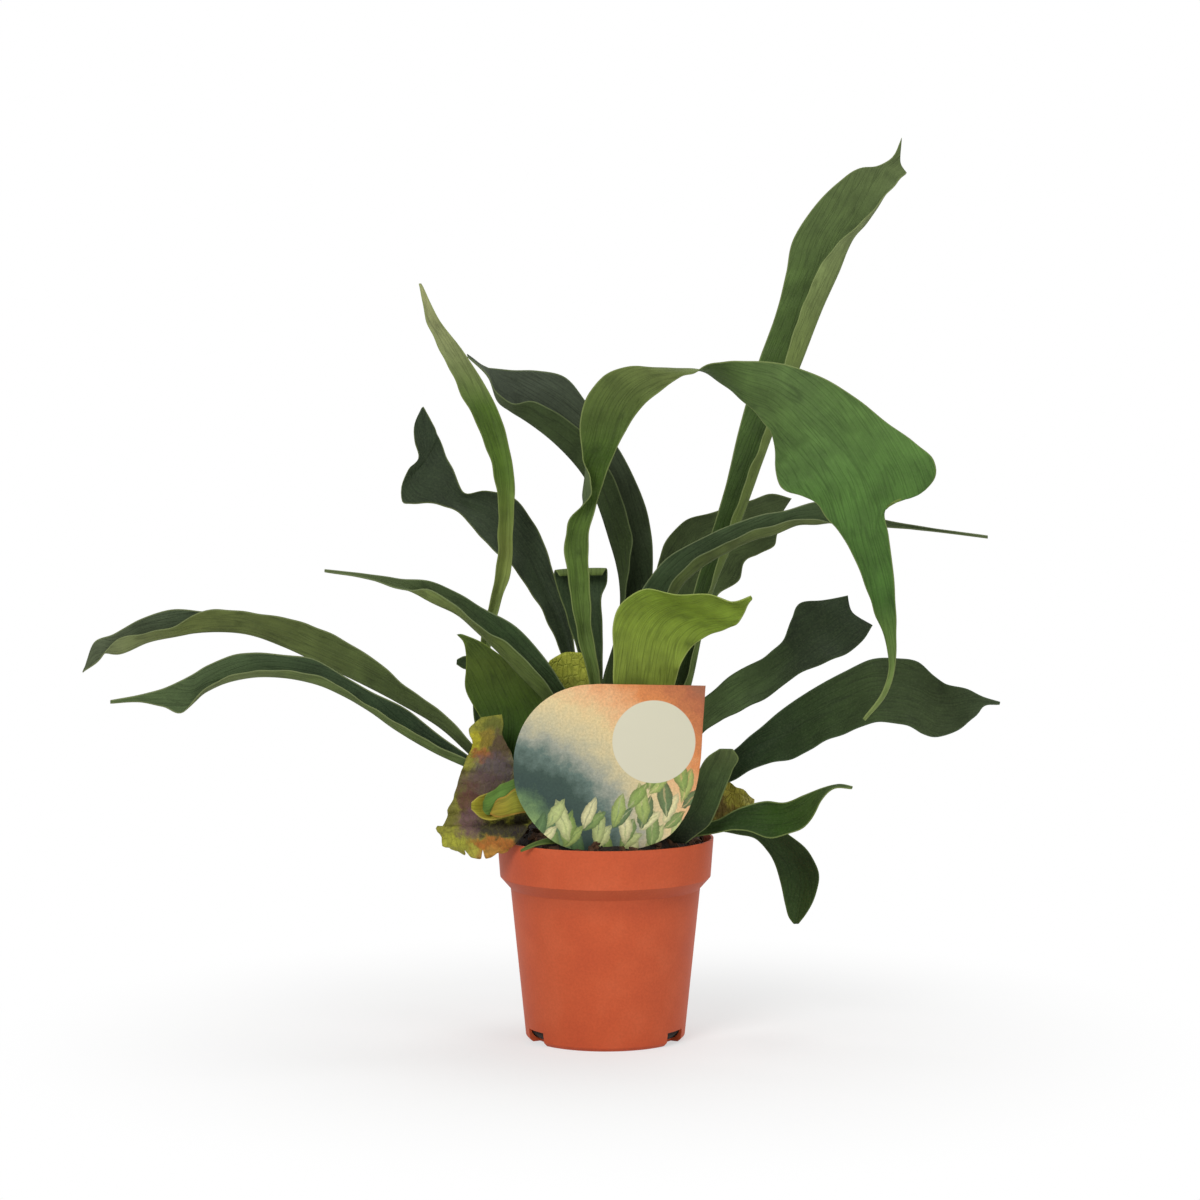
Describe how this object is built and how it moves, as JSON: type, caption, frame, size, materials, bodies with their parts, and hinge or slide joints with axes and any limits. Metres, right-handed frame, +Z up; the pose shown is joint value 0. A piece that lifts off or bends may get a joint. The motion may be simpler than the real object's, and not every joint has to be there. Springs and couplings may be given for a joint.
{
  "type": "potted staghorn fern",
  "caption": "Young staghorn fern with forked and pointed strap fronds, papery shield fronds and a plant label, growing in a plastic nursery pot",
  "frame": {"origin": "centre of the pot's flat underside, on the surface that it stands on", "axes": "+Z up along the pot's axis; -Y is the front, which the label faces; +X is to the right of the label, seen from the front"},
  "size_m": [0.505, 0.2587, 0.5078],
  "materials": {
    "pot_plastic": "matte",
    "potting_mix": "matte",
    "label_card": "satin",
    "frond": "matte",
    "young_frond": "matte",
    "shield_frond": "matte",
    "rhizome": "matte"
  },
  "bodies": {
    "root": {"nursery_pot": "pot_plastic", "potting_mix": "potting_mix", "plant_label": "label_card", "arching_frond": "frond", "tall_frond": "frond", "folded_frond": "frond", "upright_frond": "frond", "forked_frond": "frond", "pointed_frond": "frond", "long_frond_upper": "frond", "long_frond_lower": "frond", "broad_back_frond": "frond", "long_thin_frond": "frond", "young_frond": "young_frond", "right_frond_upper": "frond", "right_frond_lower": "frond", "low_right_frond": "frond", "drooping_frond": "frond", "front_right_frond": "frond", "broad_left_frond": "frond", "small_left_frond": "frond", "curled_frond": "frond", "bud_frond": "young_frond", "rim_leaf": "frond", "shield_centre": "shield_frond", "shield_left": "shield_frond", "shield_right": "shield_frond", "rhizome_centre": "rhizome", "rhizome_left": "rhizome", "rhizome_right": "rhizome", "crown_bud": "rhizome"}
  },
  "joints": []
}
